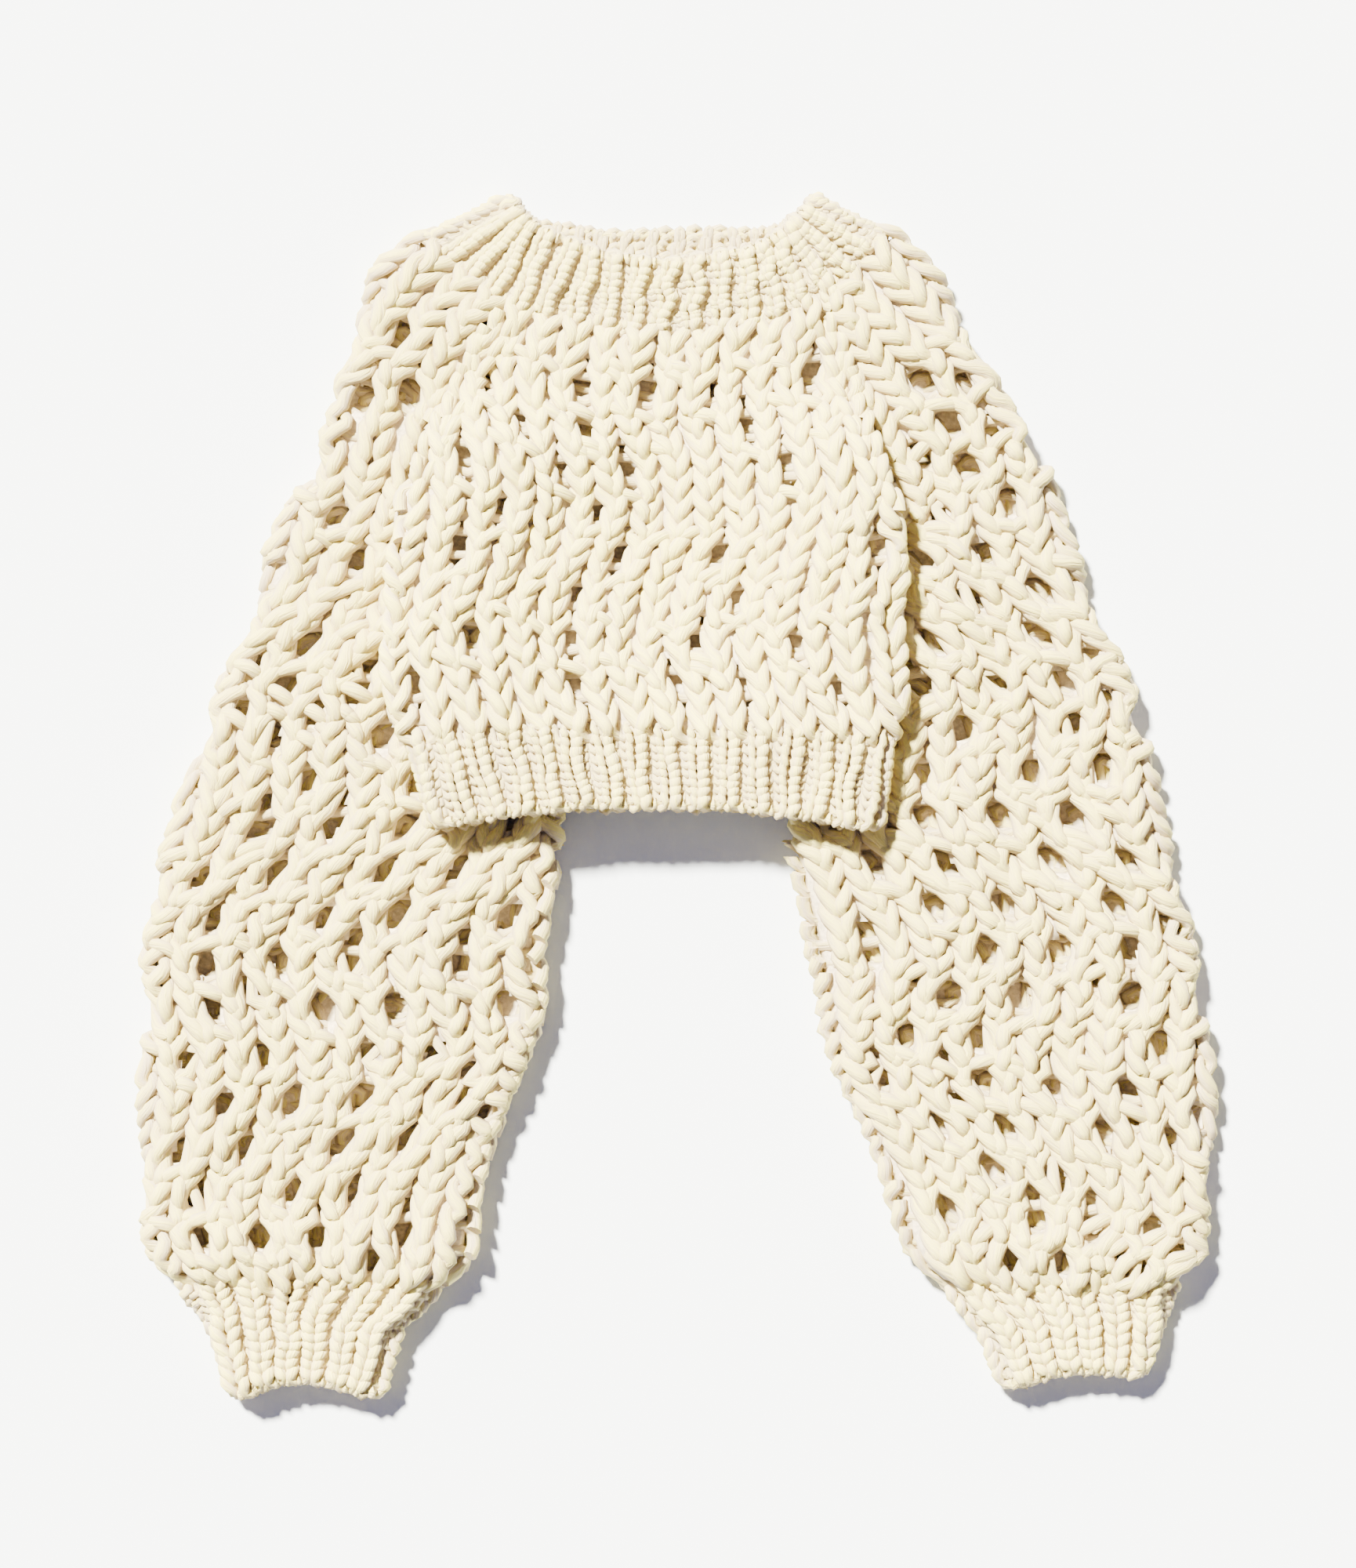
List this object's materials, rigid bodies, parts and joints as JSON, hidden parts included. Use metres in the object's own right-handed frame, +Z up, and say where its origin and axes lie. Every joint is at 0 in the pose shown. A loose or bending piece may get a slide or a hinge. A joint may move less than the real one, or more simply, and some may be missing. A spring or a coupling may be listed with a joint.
{
  "type": "knit bolero, a cropped closed-front pullover laid flat",
  "caption": "Chunky hand-knit cropped wool pullover with lace balloon sleeves, ribbed round yoke, cuffs and hem, laid flat.",
  "frame": {"origin": "centre of the bounding box in plan, on the surface that the garment lies on", "axes": "+Z up from the surface, +Y from the hem to the neck, +X to the right seen from above"},
  "size_m": [0.71, 0.794, 0.055],
  "materials": {
    "lace_knit": "soft single-ply wool roving, hand-knit lace, matt with a slight halo",
    "rib_knit": "soft single-ply wool roving, hand-knit 1x1 rib, matt"
  },
  "bodies": {
    "root": {"front": "lace_knit", "back": "lace_knit", "sleeve_left": "lace_knit", "sleeve_right": "lace_knit", "yoke_rib": "rib_knit", "hem_rib": "rib_knit", "cuff_left": "rib_knit", "cuff_right": "rib_knit"}
  },
  "joints": []
}
